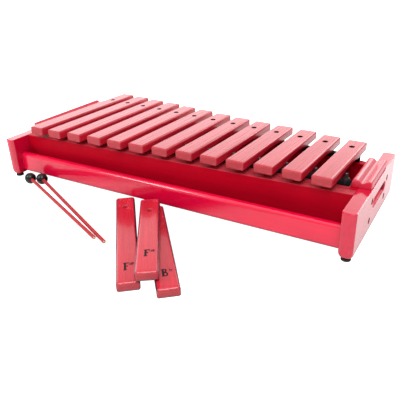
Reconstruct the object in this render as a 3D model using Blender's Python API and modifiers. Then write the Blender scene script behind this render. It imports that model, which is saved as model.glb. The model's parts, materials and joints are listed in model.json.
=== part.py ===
"""Soprano xylophone: thirteen wooden bars over a tapered resonator box that hangs between two end boards.

Every length is in millimetres and goes through mm(), which gives metres. +X runs from the bass end to the treble end,
+Y away from the player and +Z up. The instrument's own zero is the bass bar's left side at its middle (X), the
middle line of the row (Y) and the floor (Z); SHIFT_X and SHIFT_Y then put the origin under the middle of the whole.
"""

import math

import bmesh
import bpy
from mathutils import Matrix, Vector

# ---------------------------------------------------------------- driving dimensions, millimetres
SHIFT_X, SHIFT_Y = 274.85, -94.6  # the floor point that becomes the origin
GAP = 0.3  # play between pieces that touch

BAR_TOP = 95.0  # height of the playing surface
BAR_WIDTH = 30.0
BAR_THICK = 14.0
BAR_PITCH = 43.6
BAR_TURN = math.radians(2.0)  # the bars stand square to the box's middle line, which leans this much
BAR_ROUND = 3.0  # radius along the two long top edges
# note, length, near end
BARS = (
    ("c5", 261.0, -116.0),
    ("d5", 256.0, -116.0),
    ("e5", 246.0, -113.0),
    ("f5", 238.0, -110.5),
    ("g5", 228.5, -110.0),
    ("a5", 219.5, -108.0),
    ("b5", 207.5, -104.5),
    ("c6", 196.5, -101.5),
    ("d6", 190.5, -101.0),
    ("e6", 184.0, -99.5),
    ("f6", 176.0, -96.5),
    ("g6", 167.0, -97.0),
    ("a6", 163.0, -99.5),
)
HOLE_Y0, HOLE_STEP = 91.5, -5.08  # the holes lie on one line over the back wall
HOLE_R = 4.1
ARCH_SHARE = 0.5  # the tuning arch takes this share of a bar's length
ARCH_DEEP = 5.0

IN_BASS, IN_TREBLE = -26.5, 576.2  # inner faces of the end boards
BOARD = 19.4  # end board thickness
BOARD_FRONT = -143.0
BOARD_BACK_BASS, BOARD_BACK_TREBLE = 141.0, 88.5
BOARD_TOP, BOARD_LOW = 73.0, 4.5
BOARD_CORNER = 6.5
BOARD_ROUND = 6.8  # the lower edge is strongly rounded
SLOT_LONG, SLOT_HIGH, SLOT_Z = 76.0, 15.0, 46.0
FOOT_R, FOOT_IN = 6.8, 10.0

RAIL_FRONT, RAIL_THICK = -129.3, 12.0
RAIL_TOP, RAIL_LOW = 44.5, 10.9

WALL = 15.0  # long walls of the box
WALL_TOP, WALL_LOW = BOARD_TOP, 16.0
FRONT_Y0, FRONT_SLOPE = -105.1, 0.0304  # outer face of the front wall: y = FRONT_Y0 + FRONT_SLOPE * X
BACK_Y0, BACK_SLOPE = 94.5, -0.1171  # middle line of the back wall
END_WALL = 10.6
FLOOR_THICK = 4.0

LEDGE_THICK, LEDGE_BACK = 12.0, -51.0  # the board behind the front wall that carries the front strip
STRIP_Y, STRIP_WIDE = -61.0, 9.0
STRIP_TOP = BAR_TOP - BAR_THICK - GAP
POST_R, POST_TOP = 2.6, 90.5
COLLAR_R, COLLAR_TOP = 4.8, 83.4  # the foot of each post
PIN_R, PIN_TOP, PIN_DEEP = 1.9, 87.0, 12.0
BACK_STRIP_ENDS = (-1.0, 553.2)  # the back strip stops under the outer bars

CAP_WIDE, CAP_HIGH, CAP_SKIN = 28.0, 11.5, 7.0
CAP_TREBLE = (-63.6, 27.0)
CAP_BASS = (-73.0, 107.5)
SCREW_HEAD_R, SCREW_R, SCREW_LONG = 3.6, 1.7, 26.0
SCREW_ROWS = ((54.0, 45.0, 0.0), (26.5, 44.2, -7.0))  # height, half the distance along the board, shift of the row

# spare bars on the floor: near left corner (x, y), heading from the far end to the near end, length
SPARE_F5 = (364.0, -334.6, math.radians(39.2), 239.4)
SPARE_B5 = (414.8, -321.4, math.radians(40.2), 220.0)
SPARE_F6 = (383.3, -321.2, math.radians(34.6), 200.0)

# mallets: middle of the head (x, y) and the far end of the stick
MALLETS = (("a", (14.4, -151.5), (254.8, -250.4)), ("b", (35.6, -143.4), (275.0, -252.2)))
HEAD_R, STICK_R = 10.0, 3.0

RED = (0.62, 0.02, 0.035)
BAR_RED = (0.72, 0.16, 0.17)
STICK_RED = (0.72, 0.06, 0.05)
BLACK = (0.012, 0.012, 0.013)
STEEL = (0.62, 0.62, 0.63)
DARK_STEEL = (0.03, 0.03, 0.032)


def mm(*values):
    """Instrument millimetres as world metres: one length, or a point."""
    if len(values) == 1:
        return values[0] * 0.001
    x, y, z = values
    return Vector(((x - SHIFT_X) * 0.001, (y - SHIFT_Y) * 0.001, z * 0.001))


for old in list(bpy.data.objects):
    bpy.data.objects.remove(old, do_unlink=True)

PARTS = bpy.data.collections.new("soprano_xylophone")
CUTTERS = bpy.data.collections.new("cutters")
CUTTERS.hide_render = True
bpy.context.scene.collection.children.link(PARTS)
bpy.context.scene.collection.children.link(CUTTERS)


def material(name, colour, rough, metal=0.0):
    made = bpy.data.materials.new(name)
    made.use_nodes = True
    shader = made.node_tree.nodes["Principled BSDF"]
    shader.inputs["Base Color"].default_value = (*colour, 1.0)
    shader.inputs["Roughness"].default_value = rough
    shader.inputs["Metallic"].default_value = metal
    made.diffuse_color = (*colour, 1.0)
    return made


def add(name, mesh, finish=None, smooth=False):
    """A new object for this mesh: a part when it has a finish, a cutter otherwise."""
    made = bpy.data.objects.new(name, mesh)
    if finish is None:
        CUTTERS.objects.link(made)
        made.hide_render = True
        made.display_type = "WIRE"
    else:
        PARTS.objects.link(made)
        mesh.materials.append(material("paint_" + name, *finish))
        if smooth:
            mesh.shade_smooth()
            mesh.set_sharp_from_angle(angle=math.radians(35))
    return made


def cut(part, cutter):
    boolean = part.modifiers.new("cut_" + cutter.name, "BOOLEAN")
    boolean.operation = "DIFFERENCE"
    boolean.solver = "EXACT"
    boolean.object = cutter


def block_mesh(name, low, high):
    """A cube primitive stretched between two corners given in world metres."""
    bm = bmesh.new()
    middle = (low + high) / 2
    size = high - low
    bmesh.ops.create_cube(bm, size=1.0)
    bmesh.ops.transform(
        bm, matrix=Matrix.Translation(middle) @ Matrix.Diagonal((*size, 1.0)), verts=bm.verts
    )
    mesh = bpy.data.meshes.new(name)
    bm.to_mesh(mesh)
    bm.free()
    return mesh


def block(name, x0, x1, y0, y1, z0, z1, finish=None, bevel=0.0, shear_front=0.0, shear_back=0.0):
    """A board; its front and back faces may lean in plan by a slope, measured from the face at x0."""
    mesh = block_mesh(name, mm(x0, y0, z0), mm(x1, y1, z1))
    start = mm(x0, y0, z0).x
    middle = (mm(x0, y0, z0).y + mm(x0, y1, z0).y) / 2
    for vertex in mesh.vertices:
        slope = shear_front if vertex.co.y < middle else shear_back
        vertex.co.y += slope * (vertex.co.x - start)
    made = add(name, mesh, finish)
    if bevel:
        rounding = made.modifiers.new("round", "BEVEL")
        rounding.width = mm(bevel)
        rounding.segments = 2
        rounding.limit_method = "ANGLE"
    return made


def drum(name, radius, depth, place, axis="Z", sides=16, finish=None, top_radius=None):
    """A cylinder or cone primitive; place is its middle in instrument millimetres."""
    bm = bmesh.new()
    turn = {"Z": Matrix(), "X": Matrix.Rotation(math.pi / 2, 4, "Y"), "Y": Matrix.Rotation(math.pi / 2, 4, "X")}[axis]
    bmesh.ops.create_cone(
        bm,
        cap_ends=True,
        segments=sides,
        radius1=mm(radius),
        radius2=mm(radius if top_radius is None else top_radius),
        depth=mm(depth),
        matrix=Matrix.Translation(mm(*place)) @ turn,
    )
    mesh = bpy.data.meshes.new(name)
    bm.to_mesh(mesh)
    bm.free()
    return add(name, mesh, finish, smooth=finish is not None)


def union(part, others):
    """Joins other bodies to the part with exact unions; the joined bodies are hidden guides."""
    for other in others:
        boolean = part.modifiers.new("join_" + other.name, "BOOLEAN")
        boolean.operation = "UNION"
        boolean.solver = "EXACT"
        boolean.object = other


# ---------------------------------------------------------------- bars
def bar_mesh(name, length, arch_deep):
    """A bar along local Y, its near end at y = 0 and its top at z = 0, with the tuning arch underneath."""
    bm = bmesh.new()
    bmesh.ops.create_cube(bm, size=1.0)
    size = (mm(BAR_WIDTH), mm(length), mm(BAR_THICK))
    centre = Vector((0.0, size[1] / 2, -size[2] / 2))
    bmesh.ops.transform(bm, matrix=Matrix.Translation(centre) @ Matrix.Diagonal((*size, 1.0)), verts=bm.verts)
    low = [
        edge
        for edge in bm.edges
        if all(v.co.z < -size[2] * 0.9 for v in edge.verts) and abs(edge.verts[0].co.y - edge.verts[1].co.y) > size[1] / 2
    ]
    steps = 12
    bmesh.ops.subdivide_edges(bm, edges=low, cuts=steps - 1, use_grid_fill=True)
    bm.verts.ensure_lookup_table()
    for vertex in bm.verts:
        share = vertex.co.y / size[1]
        if vertex.co.z < -size[2] * 0.9 and 0.01 < share < 0.99:
            k = round(share * steps)  # 1 .. steps - 1
            across = -1 + 2 * (k - 1) / (steps - 2)
            vertex.co.y = size[1] * (0.5 + across * ARCH_SHARE / 2)
            vertex.co.z += mm(arch_deep) * math.cos(across * math.pi / 2) ** 0.8 if abs(across) < 0.999 else 0.0
    tops = [
        edge
        for edge in bm.edges
        if all(abs(v.co.z) < 1e-6 for v in edge.verts) and abs(edge.verts[0].co.y - edge.verts[1].co.y) > size[1] / 2
    ]
    bmesh.ops.bevel(bm, geom=tops, offset=mm(BAR_ROUND), segments=3, profile=0.5, affect="EDGES")
    bmesh.ops.recalc_face_normals(bm, faces=bm.faces)
    mesh = bpy.data.meshes.new(name)
    bm.to_mesh(mesh)
    bm.free()
    return mesh


def hole_cutter(name, at):
    """A vertical drill for one bar, in that bar's own frame."""
    bm = bmesh.new()
    bmesh.ops.create_cone(bm, cap_ends=True, segments=14, radius1=mm(HOLE_R), radius2=mm(HOLE_R), depth=mm(40))
    mesh = bpy.data.meshes.new(name)
    bm.to_mesh(mesh)
    bm.free()
    drill = add(name, mesh)
    drill.location = (0.0, at, 0.0)
    return drill


def place_bar(name, length, matrix, hole_at, arch_deep):
    bar = add(name, bar_mesh(name, length, arch_deep), (BAR_RED, 0.42), smooth=True)
    bar.matrix_world = matrix
    drill = hole_cutter("drill_" + name, mm(hole_at))
    drill.matrix_world = matrix @ Matrix.Translation((0.0, mm(hole_at), 0.0))
    cut(bar, drill)
    return bar


def row_point(index, across, along):
    """A point of the turned bar number index, in plan: across from its middle line, along from the row's middle."""
    x = index * BAR_PITCH + BAR_WIDTH / 2 + math.sin(BAR_TURN) * along + math.cos(BAR_TURN) * across
    y = math.cos(BAR_TURN) * along - math.sin(BAR_TURN) * across
    return x, y


for index, (note, length, near) in enumerate(BARS):
    x, y = row_point(index, 0.0, near)
    place = Matrix.Translation(mm(x, y, BAR_TOP)) @ Matrix.Rotation(-BAR_TURN, 4, "Z")
    hole_at = HOLE_Y0 + HOLE_STEP * index - near
    place_bar("bar_" + note, length, place, hole_at, ARCH_DEEP * (length / 261.0) ** 0.5)


def spare(name, corner, top, hole_share):
    x, y, heading, length = corner
    # local +Y runs from the near end to the far end
    turn = Matrix.Rotation(heading, 4, "Z")
    middle = Vector((x, y, 0)) + Vector((math.cos(heading), math.sin(heading), 0)) * (BAR_WIDTH / 2)
    place = Matrix.Translation(mm(middle.x, middle.y, top)) @ turn
    return place_bar(name, length, place, length * hole_share, ARCH_DEEP * 0.9)


spare("spare_bar_f_sharp5", SPARE_F5, BAR_THICK, 0.855)
spare("spare_bar_b_flat5", SPARE_B5, BAR_THICK, 0.855)
spare("spare_bar_f_sharp6", SPARE_F6, 2 * BAR_THICK + GAP, 0.805)


# ---------------------------------------------------------------- end boards
def end_board(side, inner, outward, back):
    """One end board with rounded lower corners, a strongly rounded lower edge, a hand slot and four screw recesses."""
    x0, x1 = sorted((inner, inner + outward * BOARD))
    bm = bmesh.new()
    low, high = mm(x0, BOARD_FRONT, BOARD_LOW), mm(x1, back, BOARD_TOP)
    bmesh.ops.create_cube(bm, size=1.0)
    bmesh.ops.transform(
        bm, matrix=Matrix.Translation((low + high) / 2) @ Matrix.Diagonal((*(high - low), 1.0)), verts=bm.verts
    )
    corners = [e for e in bm.edges if all(abs(v.co.z - low.z) < 1e-6 for v in e.verts) and abs(e.verts[0].co.x - e.verts[1].co.x) > 1e-4]
    bmesh.ops.bevel(bm, geom=corners, offset=mm(BOARD_CORNER), segments=4, profile=0.5, affect="EDGES")
    rim = []
    weight = bm.edges.layers.float.new("bevel_weight_edge")
    for edge in bm.edges:
        a, b = (v.co for v in edge.verts)
        if abs(a.x - b.x) > 1e-6 or (abs(a.z - high.z) < 1e-6 and abs(b.z - high.z) < 1e-6):
            continue
        if abs(a.y - b.y) > mm(60):
            edge[weight] = 1.0  # the long lower edges
        elif abs(a.z - b.z) > mm(30):
            edge[weight] = 0.38  # the upright end edges
        else:
            edge[weight] = 0.8
        rim.append(edge)
    mesh = bpy.data.meshes.new("end_board_" + side)
    bm.to_mesh(mesh)
    bm.free()
    board = add("end_board_" + side, mesh, (RED, 0.12), smooth=True)
    rounding = board.modifiers.new("round", "BEVEL")
    rounding.limit_method = "WEIGHT"
    rounding.width = mm(BOARD_ROUND)
    rounding.segments = 5
    middle_y = (BOARD_FRONT + back) / 2 + (15.0 if side == "treble" else 10.0)
    middle_x = (x0 + x1) / 2
    half = SLOT_LONG / 2 - SLOT_HIGH / 2
    slot = block("slot_" + side, x0 - 20, x1 + 20, middle_y - half - SLOT_HIGH / 2, middle_y + half + SLOT_HIGH / 2, SLOT_Z - SLOT_HIGH / 2, SLOT_Z + SLOT_HIGH / 2)
    ends = slot.modifiers.new("ends", "BEVEL")
    ends.limit_method = "WEIGHT"
    ends.width = mm(SLOT_HIGH / 2 - 0.4)
    ends.segments = 5
    weights = slot.data.attributes.new("bevel_weight_edge", "FLOAT", "EDGE")
    for edge in slot.data.edges:
        a, b = (slot.data.vertices[i].co for i in edge.vertices)
        weights.data[edge.index].value = 1.0 if abs(a.x - b.x) > 1e-4 else 0.0
    cut(board, slot)
    face = x0 if outward < 0 else x1
    number = 0
    for height, reach, shift in SCREW_ROWS:
        for sign in (-1, 1):
            number += 1
            y = middle_y + shift + sign * reach
            bore = drum(f"bore_{side}_{number}", SCREW_R + GAP, 80, (middle_x, y, height), axis="X", sides=10)
            sink = drum(f"sink_{side}_{number}", SCREW_HEAD_R + 0.7, 11.0, (face, y, height), axis="X", sides=12)
            cut(board, bore)
            cut(board, sink)
            screw_at(side, number, face - outward * 5.5, outward, y, height)
            BORES.append((side, y, bore))
    for label, y in (("front", BOARD_FRONT + FOOT_IN), ("back", back - FOOT_IN)):
        drum(
            f"foot_{label}_{side}",
            FOOT_R,
            BOARD_LOW - GAP,
            (middle_x, y, (BOARD_LOW - GAP) / 2),
            sides=20,
            finish=(BLACK, 0.5),
        )
    return board


def screw_at(side, number, seat, outward, y, z):
    """A wood screw turned from its profile, head outward; seat is the X of the recess's bottom."""
    name = f"screw_{side}_{number}"
    # profile down the outer side, head first; local Z is the screw's axis, z = 0 at the underside of the head
    head = 2.4
    points = ((0.0, head), (SCREW_HEAD_R, head), (SCREW_HEAD_R, 0.0), (SCREW_R, 0.0), (SCREW_R, -SCREW_LONG + 3), (0.0, -SCREW_LONG))
    mesh = bpy.data.meshes.new(name)
    mesh.from_pydata([(mm(r), 0.0, mm(h)) for r, h in points], [(i, i + 1) for i in range(len(points) - 1)], [])
    screw = add(name, mesh, (STEEL, 0.35, 1.0))
    turned = screw.modifiers.new("turn", "SCREW")
    turned.steps = turned.render_steps = 12
    turned.use_merge_vertices = True
    turned.merge_threshold = 0.00001
    turned.use_smooth_shade = True
    turn = Matrix.Rotation(math.pi / 2 * outward, 4, "Y")
    screw.matrix_world = Matrix.Translation(mm(seat + outward * GAP, y, z)) @ turn
    return screw


BORES = []
end_board("bass", IN_BASS, -1, BOARD_BACK_BASS)
end_board("treble", IN_TREBLE, 1, BOARD_BACK_TREBLE)


# ---------------------------------------------------------------- long rails between the end boards
X0, X1 = IN_BASS + GAP, IN_TREBLE - GAP
block("front_rail", X0, X1, RAIL_FRONT, RAIL_FRONT + RAIL_THICK, RAIL_LOW, RAIL_TOP, (RED, 0.12), bevel=2.0)
back_slope = (BOARD_BACK_TREBLE - BOARD_BACK_BASS) / (X1 - X0)
back_face = BOARD_BACK_BASS - 14.0
block(
    "back_rail",
    X0,
    X1,
    back_face - RAIL_THICK,
    back_face,
    RAIL_LOW,
    RAIL_TOP,
    (RED, 0.12),
    bevel=2.0,
    shear_front=back_slope,
    shear_back=back_slope,
)


# ---------------------------------------------------------------- resonator box
def front_at(x):
    return FRONT_Y0 + FRONT_SLOPE * x


def back_at(x):
    return BACK_Y0 + BACK_SLOPE * x


block(
    "box_front_wall",
    X0,
    X1,
    front_at(X0),
    front_at(X0) + WALL,
    WALL_LOW,
    WALL_TOP,
    (RED, 0.12),
    bevel=1.2,
    shear_front=FRONT_SLOPE,
    shear_back=FRONT_SLOPE,
)
back_wall = block(
    "box_back_wall",
    X0,
    X1,
    back_at(X0) - WALL / 2,
    back_at(X0) + WALL / 2,
    WALL_LOW,
    WALL_TOP,
    (RED, 0.12),
    bevel=1.2,
    shear_front=BACK_SLOPE,
    shear_back=BACK_SLOPE,
)
for side, x0, x1 in (
    ("bass", X0, X0 + END_WALL),
    ("treble", X1 - END_WALL, X1),
):
    f0, f1 = front_at(x0) + WALL + GAP, front_at(x1) + WALL + GAP
    b0, b1 = back_at(x0) - WALL / 2 - GAP, back_at(x1) - WALL / 2 - GAP
    wall = block(
        "box_end_" + side,
        x0,
        x1,
        f0,
        b0,
        WALL_LOW,
        WALL_TOP,
        (RED, 0.15),
        shear_front=(f1 - f0) / (x1 - x0),
        shear_back=(b1 - b0) / (x1 - x0),
    )
    for where, _, bore in BORES:
        if where == side:
            cut(wall, bore)
# the treble board's back screws go into the end of the back wall
for where, y, bore in BORES:
    if where == "treble" and y > 0:
        cut(back_wall, bore)
# the bottom panel lies inside the four walls
fx0, fx1 = X0 + END_WALL + GAP, X1 - END_WALL - GAP
block(
    "box_floor",
    fx0,
    fx1,
    front_at(fx0) + WALL + GAP,
    back_at(fx0) - WALL / 2 - GAP,
    WALL_LOW,
    WALL_LOW + FLOOR_THICK,
    (RED, 0.3),
    shear_front=FRONT_SLOPE,
    shear_back=BACK_SLOPE,
)
block(
    "bar_ledge",
    fx0,
    fx1,
    front_at(fx0) + WALL + GAP,
    LEDGE_BACK,
    WALL_TOP - LEDGE_THICK,
    WALL_TOP,
    (RED, 0.15),
    shear_front=FRONT_SLOPE,
)

# ---------------------------------------------------------------- what carries the bars
strip = block(
    "front_strip",
    fx0 + 1,
    fx1 - 1,
    STRIP_Y - STRIP_WIDE / 2,
    STRIP_Y + STRIP_WIDE / 2,
    WALL_TOP + GAP,
    STRIP_TOP,
    (BLACK, 0.6),
)
posts = []
for index in range(-1, len(BARS)):
    x, y = row_point(index, BAR_PITCH / 2, STRIP_Y)
    for label, radius, top in (("post", POST_R, POST_TOP), ("collar", COLLAR_R, COLLAR_TOP)):
        low = WALL_TOP + 3
        posts.append(drum(f"{label}_{index + 1}", radius, top - low, (x, STRIP_Y, (top + low) / 2), sides=10))
union(strip, posts)
for other in posts:
    other.hide_render = True

strip_back = block(
    "back_strip",
    *BACK_STRIP_ENDS,
    back_at(BACK_STRIP_ENDS[0]) - 4.5,
    back_at(BACK_STRIP_ENDS[0]) + 4.5,
    WALL_TOP + GAP,
    STRIP_TOP,
    (BLACK, 0.6),
    shear_front=BACK_SLOPE,
    shear_back=BACK_SLOPE,
)
for index, (note, length, near) in enumerate(BARS):
    x, y = row_point(index, 0.0, HOLE_Y0 + HOLE_STEP * index)
    foot = WALL_TOP - PIN_DEEP
    drill = drum("pin_hole_" + note, PIN_R + GAP, PIN_DEEP + 30, (x, y, foot + (PIN_DEEP + 30) / 2), sides=12)
    cut(back_wall, drill)
    cut(strip_back, drill)
    drum("pin_" + note, PIN_R, PIN_TOP - foot - GAP, (x, y, (PIN_TOP + foot + GAP) / 2), sides=12, finish=(DARK_STEEL, 0.45, 1.0))


# ---------------------------------------------------------------- caps over the end boards and the box ends
def cap(side, inner, outward, span):
    """A moulded batten: its section is a flat outline with two ridges, pushed along Y."""
    wide = CAP_WIDE
    outline = [(0.0, 0.0), (0.0, 6.8), (0.5, 8.6), (2.2, 10.6), (4.4, CAP_HIGH), (6.6, CAP_HIGH), (8.8, 10.6)]
    outline += [(11.0, 9.0), (13.0, 7.5), (14.8, CAP_SKIN), (17.4, CAP_SKIN + 0.6), (20.4, 9.4)]
    outline += [(22.8, CAP_HIGH - 0.7), (24.6, CAP_HIGH - 0.4), (wide - 0.9, 10.0), (wide, 9.0), (wide, 0.0)]
    curve = bpy.data.curves.new("cap_" + side, "CURVE")
    curve.dimensions = "2D"
    curve.fill_mode = "BOTH"
    curve.extrude = mm((span[1] - span[0]) / 2)
    spline = curve.splines.new("POLY")
    spline.points.add(len(outline) - 1)
    for point, (a, b) in zip(spline.points, outline):
        point.co = (mm(a), mm(b), 0.0, 1.0)
    spline.use_cyclic_u = True
    made = bpy.data.objects.new("cap_" + side, curve)
    PARTS.objects.link(made)
    curve.materials.append(material("paint_cap_" + side, RED, 0.12))
    start = inner - outward * END_WALL + outward * 0.3
    turn = Matrix.Rotation(math.pi / 2, 4, "X")
    if outward < 0:
        turn = Matrix.Rotation(math.pi, 4, "Z") @ turn
    made.matrix_world = Matrix.Translation(mm(start, (span[0] + span[1]) / 2, BOARD_TOP + GAP)) @ turn
    return made


cap("bass", IN_BASS, -1, CAP_BASS)
cap("treble", IN_TREBLE, 1, CAP_TREBLE)


# ---------------------------------------------------------------- mallets on the floor
for label, head_xy, end_xy in MALLETS:
    head = Vector((head_xy[0], head_xy[1], HEAD_R))
    end = Vector((end_xy[0], end_xy[1], STICK_R + 0.1))
    along = (end - head).normalized()
    bm = bmesh.new()
    turn = along.to_track_quat("Z", "Y").to_matrix().to_4x4()
    bmesh.ops.create_uvsphere(bm, u_segments=18, v_segments=12, radius=mm(HEAD_R), matrix=Matrix.Translation(mm(*head)) @ turn)
    mesh = bpy.data.meshes.new("mallet_head_" + label)
    bm.to_mesh(mesh)
    bm.free()
    ball = add("mallet_head_" + label, mesh, (BLACK, 0.2), smooth=True)
    socket = HEAD_R - 9.0
    bm = bmesh.new()
    long = (end - head).length - socket
    bmesh.ops.create_cone(
        bm,
        cap_ends=True,
        segments=12,
        radius1=mm(STICK_R),
        radius2=mm(STICK_R),
        depth=mm(long),
        matrix=Matrix.Translation(mm(*(head + along * (socket + long / 2)))) @ turn,
    )
    mesh = bpy.data.meshes.new("mallet_stick_" + label)
    bm.to_mesh(mesh)
    bm.free()
    add("mallet_stick_" + label, mesh, (STICK_RED, 0.4), smooth=True)
    bm = bmesh.new()
    bmesh.ops.create_cone(
        bm,
        cap_ends=True,
        segments=12,
        radius1=mm(STICK_R + GAP),
        radius2=mm(STICK_R + GAP),
        depth=mm(30),
        matrix=Matrix.Translation(mm(*(head + along * (socket - GAP + 15)))) @ turn,
    )
    mesh = bpy.data.meshes.new("socket_" + label)
    bm.to_mesh(mesh)
    bm.free()
    cut(ball, add("socket_" + label, mesh))
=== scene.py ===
import json
import math

import bmesh
import bpy
from mathutils import Matrix, Vector


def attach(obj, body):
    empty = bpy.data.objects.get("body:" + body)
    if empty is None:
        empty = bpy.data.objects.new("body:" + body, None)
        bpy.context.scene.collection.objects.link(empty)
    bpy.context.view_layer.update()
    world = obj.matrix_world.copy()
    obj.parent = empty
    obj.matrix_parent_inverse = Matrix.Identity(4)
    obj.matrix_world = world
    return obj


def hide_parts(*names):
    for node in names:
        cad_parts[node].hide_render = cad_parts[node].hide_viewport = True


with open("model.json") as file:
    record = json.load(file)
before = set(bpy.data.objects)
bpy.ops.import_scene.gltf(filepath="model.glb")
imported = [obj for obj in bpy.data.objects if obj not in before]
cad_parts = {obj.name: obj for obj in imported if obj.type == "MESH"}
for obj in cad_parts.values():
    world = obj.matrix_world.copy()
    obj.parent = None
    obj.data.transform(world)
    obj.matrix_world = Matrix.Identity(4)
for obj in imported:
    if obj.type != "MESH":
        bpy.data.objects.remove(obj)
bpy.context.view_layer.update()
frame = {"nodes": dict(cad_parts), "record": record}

NODES = frame["nodes"]
SCENE = bpy.context.scene

# Plan shift between the instrument's own millimetres (bass bar's side, middle of the row, floor) and the frame.
SHIFT_X, SHIFT_Y = 274.85, -94.6

# The CAD's driving dimensions that the finished pieces share, in millimetres.
BAR_TOP, BAR_WIDTH, BAR_THICK, BAR_PITCH = 95.0, 30.0, 14.0, 43.6
BAR_TURN = math.radians(2.0)
BARS = (
    ("c5", 261.0, -116.0),
    ("d5", 256.0, -116.0),
    ("e5", 246.0, -113.0),
    ("f5", 238.0, -110.5),
    ("g5", 228.5, -110.0),
    ("a5", 219.5, -108.0),
    ("b5", 207.5, -104.5),
    ("c6", 196.5, -101.5),
    ("d6", 190.5, -101.0),
    ("e6", 184.0, -99.5),
    ("f6", 176.0, -96.5),
    ("g6", 167.0, -97.0),
    ("a6", 163.0, -99.5),
)
HOLE_Y0, HOLE_STEP, HOLE_R = 91.5, -5.08, 4.1
IN_BASS, IN_TREBLE, BOARD = -26.5, 576.2, 19.4
BOARD_FRONT, BOARD_BACK = -143.0, {"bass": 141.0, "treble": 88.5}
BOARD_TOP, BOARD_LOW = 73.0, 4.5
GAP = 0.3
SPARES = {
    "f_sharp5": (364.0, -334.6, 39.2, 239.4, 14.0),
    "b_flat5": (414.8, -321.4, 40.2, 220.0, 14.0),
    "f_sharp6": (383.3, -321.2, 34.6, 200.0, 28.3),
}
MALLETS = (("a", (14.4, -151.5), (254.8, -250.4)), ("b", (35.6, -143.4), (275.0, -252.2)))
HEAD_R, STICK_R = 10.0, 3.0


def mm(x, y, z):
    return Vector(((x - SHIFT_X) * 0.001, (y - SHIFT_Y) * 0.001, z * 0.001))


# ---------------------------------------------------------------- camera
def make_camera():
    focal_px, azimuth, elevation, roll = 492.96, 0.5525, 0.4651, -0.0366
    place = mm(709.49, -693.33, 272.53 + 95.0)
    forward = Vector((-math.sin(azimuth) * math.cos(elevation), math.cos(azimuth) * math.cos(elevation), -math.sin(elevation)))
    right = Vector((math.cos(azimuth), math.sin(azimuth), 0.0))
    up = right.cross(forward)
    c, s = math.cos(roll), math.sin(roll)
    right, up = c * right + s * up, -s * right + c * up
    data = bpy.data.cameras.new("photo_camera")
    data.sensor_width = 36.0
    data.lens = focal_px / 400.0 * 36.0
    data.clip_start, data.clip_end = 0.05, 50.0
    camera = bpy.data.objects.new("photo_camera", data)
    SCENE.collection.objects.link(camera)
    turn = Matrix((right, up, -forward)).transposed().to_4x4()
    camera.matrix_world = Matrix.Translation(place) @ turn
    SCENE.camera = camera


make_camera()


# ---------------------------------------------------------------- materials
def nodes_of(name):
    made = bpy.data.materials.new(name)
    made.use_nodes = True
    tree = made.node_tree
    return made, tree.nodes, tree.links, tree.nodes["Principled BSDF"]


def texture_point(nodes, links, scale, offset=(0.0, 0.0, 0.0)):
    place = nodes.new("ShaderNodeTexCoord")
    mapping = nodes.new("ShaderNodeMapping")
    mapping.inputs["Scale"].default_value = scale
    mapping.inputs["Location"].default_value = offset
    links.new(place.outputs["Object"], mapping.inputs["Vector"])
    return mapping.outputs["Vector"]


def noise(nodes, links, scale, detail=4.0, rough=0.5, distortion=0.0, offset=(0.0, 0.0, 0.0)):
    made = nodes.new("ShaderNodeTexNoise")
    made.inputs["Scale"].default_value = 1.0
    made.inputs["Detail"].default_value = detail
    made.inputs["Roughness"].default_value = rough
    made.inputs["Distortion"].default_value = distortion
    links.new(texture_point(nodes, links, scale, offset), made.inputs["Vector"])
    return made.outputs["Fac"]


def ramp(nodes, links, source, stops):
    made = nodes.new("ShaderNodeValToRGB")
    elements = made.color_ramp.elements
    while len(elements) < len(stops):
        elements.new(0.5)
    for element, (place, colour) in zip(elements, stops):
        element.position = place
        element.color = (*colour, 1.0)
    links.new(source, made.inputs["Fac"])
    return made.outputs["Color"]


def multiply(nodes, links, a, b, share=1.0):
    made = nodes.new("ShaderNodeMix")
    made.data_type = "RGBA"
    made.blend_type = "MULTIPLY"
    made.inputs["Factor"].default_value = share
    links.new(a, made.inputs["A"])
    links.new(b, made.inputs["B"])
    return made.outputs["Result"]


def spread(nodes, links, source, low, high, start=0.3, end=0.7):
    made = nodes.new("ShaderNodeMapRange")
    made.inputs["From Min"].default_value = start
    made.inputs["From Max"].default_value = end
    made.inputs["To Min"].default_value = low
    made.inputs["To Max"].default_value = high
    links.new(source, made.inputs["Value"])
    return made.outputs["Result"]


def bump(nodes, links, shader, source, strength, distance):
    made = nodes.new("ShaderNodeBump")
    made.inputs["Strength"].default_value = strength
    made.inputs["Distance"].default_value = distance
    links.new(source, made.inputs["Height"])
    links.new(made.outputs["Normal"], shader.inputs["Normal"])


def lacquer(name, specular=0.45, coat=0.35, rough=(0.12, 0.20), tint=1.0, blue=0.056, coat_rough=0.05):
    """Deep red gloss lacquer over board: slow colour drift, a trace of the sanded grain below, fine orange peel."""
    made, nodes, links, shader = nodes_of(name)
    cloud = noise(nodes, links, (7, 16, 16), 4.0, 0.55)
    body = ramp(nodes, links, cloud, ((0.3, (0.60 * tint, 0.0010, 0.60 * tint * blue)), (0.7, (0.74 * tint, 0.0016, 0.74 * tint * blue))))
    grain = noise(nodes, links, (16, 240, 240), 5.0, 0.6)
    colour = multiply(nodes, links, body, ramp(nodes, links, grain, ((0.30, (0.86, 0.86, 0.86)), (0.62, (1.0, 1.0, 1.0)))), 0.7)
    links.new(colour, shader.inputs["Base Color"])
    peel = noise(nodes, links, (190, 190, 190), 2.0)
    bump(nodes, links, shader, peel, 0.08, 0.0005)
    links.new(spread(nodes, links, cloud, *rough), shader.inputs["Roughness"])
    shader.inputs["Specular IOR Level"].default_value = specular
    shader.inputs["Coat Weight"].default_value = coat
    shader.inputs["Coat Roughness"].default_value = coat_rough
    return made


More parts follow.
